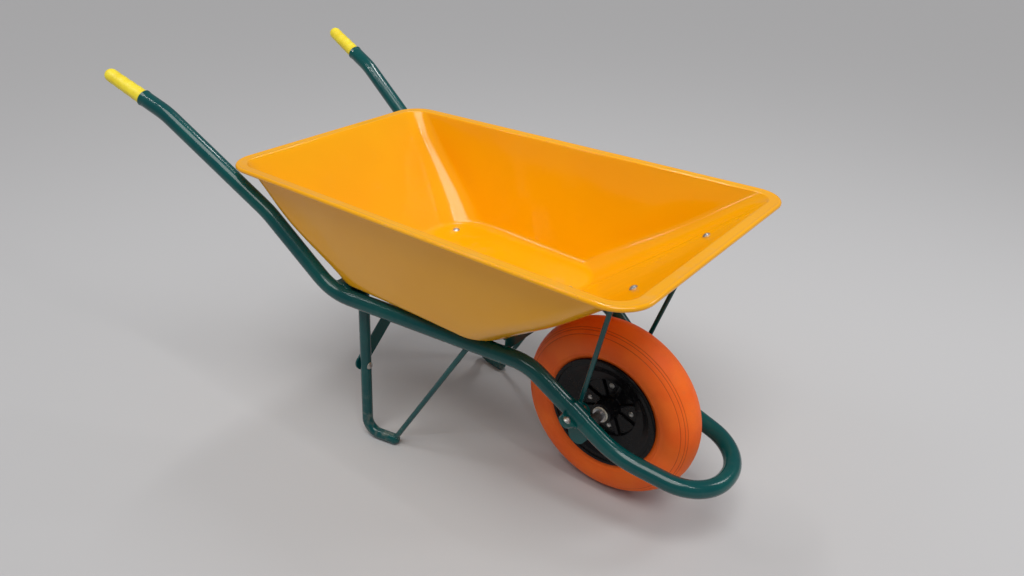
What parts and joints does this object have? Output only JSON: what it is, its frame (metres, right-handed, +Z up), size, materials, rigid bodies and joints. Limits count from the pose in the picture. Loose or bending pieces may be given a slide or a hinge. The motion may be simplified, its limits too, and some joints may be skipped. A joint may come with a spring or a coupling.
{
  "type": "wheelbarrow",
  "caption": "Single-wheel barrow with a bent tube frame, sloped pressed steel tray, splayed braced legs, plastic handle grips and a foam-filled tyre on a black rim.",
  "frame": {"origin": "on the ground, at the middle of the whole barrow's length and width", "axes": "+X forward to the wheel, +Y to the barrow's left, +Z up; the wheel axis is at x = 0.4396 m, z = 0.2 m"},
  "size_m": [1.4492, 0.6896, 0.7824],
  "materials": {
    "frame_green": "glossy dark teal-green enamel",
    "tray_yellow": "glossy yellow-orange powder coat",
    "rim_wire_steel": "plain drawn wire, sealed inside the rolled edge",
    "grip_yellow": "satin lemon-yellow moulded plastic",
    "tyre_orange": "matt orange foam-filled tyre",
    "rim_black": "moulded glossy black plastic",
    "bush_nylon": "natural nylon",
    "axle_steel": "bright drawn steel",
    "zinc_plate": "zinc-plated steel"
  },
  "bodies": {
    "frame": {"axle": "axle_steel", "axle_bracket_left": "frame_green", "axle_bracket_right": "frame_green", "axle_spacer_left": "axle_steel", "axle_spacer_right": "axle_steel", "axle_washers": "axle_steel", "brace_bolts": "zinc_plate", "brace_nuts": "zinc_plate", "bracket_bolts": "zinc_plate", "bracket_nuts": "zinc_plate", "frame_tube": "frame_green", "front_crossmember": "frame_green", "front_stay_left": "frame_green", "front_stay_right": "frame_green", "front_wall_bolts": "zinc_plate", "front_wall_nuts": "zinc_plate", "grip_left": "grip_yellow", "grip_right": "grip_yellow", "leg_brace": "frame_green", "leg_left": "frame_green", "leg_right": "frame_green", "leg_stay_left": "frame_green", "leg_stay_right": "frame_green", "rear_crossmember": "frame_green", "rim_wire": "rim_wire_steel", "stay_crossbar": "frame_green", "stay_foot_left": "frame_green", "stay_foot_right": "frame_green", "tray": "tray_yellow", "tray_floor_bolts": "zinc_plate", "tray_floor_nuts": "zinc_plate", "tray_floor_washers": "zinc_plate"},
    "wheel": {"tyre": "tyre_orange", "rim_half_right": "rim_black", "rim_half_left": "rim_black", "hub_bush_right": "bush_nylon", "hub_bush_left": "bush_nylon", "rim_screws": "zinc_plate", "rim_screw_nuts": "zinc_plate"}
  },
  "joints": [
    {"name": "wheel_spin", "type": "hinge", "parent": "frame", "child": "wheel", "pos_m": [0.4396, 0, 0.2], "axis": [0, 1, 0], "continuous": true}
  ]
}
